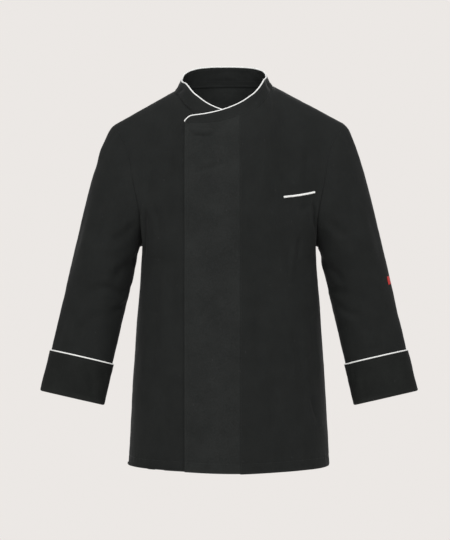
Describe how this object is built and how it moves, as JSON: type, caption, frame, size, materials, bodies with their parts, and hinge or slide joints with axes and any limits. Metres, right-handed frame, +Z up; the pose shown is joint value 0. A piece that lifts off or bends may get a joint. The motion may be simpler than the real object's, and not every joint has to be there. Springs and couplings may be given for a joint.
{
  "type": "chef jacket",
  "caption": "Long-sleeved chef jacket in worn, hollow form: stand collar, offset fly front with hidden studs, turned-back cuffs, slanted chest pocket and contrast piping.",
  "frame": {"origin": "midway between the shoulders, level with the neck points where the shoulder seams meet the collar: where the wearer's shoulders carry it", "axes": "+Z up, -Y out of the front, +X to the wearer's left"},
  "size_m": [0.7494, 0.2672, 0.8011],
  "materials": {
    "black_cloth": "matt black cotton and polyester twill",
    "white_piping": "white covered cord piping",
    "press_stud": "pressed metal snap stud",
    "red_tab": "plain red woven tab"
  },
  "bodies": {
    "root": {"back": "black_cloth", "front_right": "black_cloth", "front_left": "black_cloth", "front_band": "black_cloth", "collar": "black_cloth", "sleeve_right": "black_cloth", "sleeve_left": "black_cloth", "cuff_right": "black_cloth", "cuff_left": "black_cloth", "pocket_bag": "black_cloth", "collar_piping": "white_piping", "cuff_piping_right": "white_piping", "cuff_piping_left": "white_piping", "pocket_piping": "white_piping", "sleeve_label": "red_tab", "stud_1": "press_stud", "stud_2": "press_stud", "stud_3": "press_stud", "stud_4": "press_stud", "stud_5": "press_stud", "stud_6": "press_stud"}
  },
  "joints": []
}
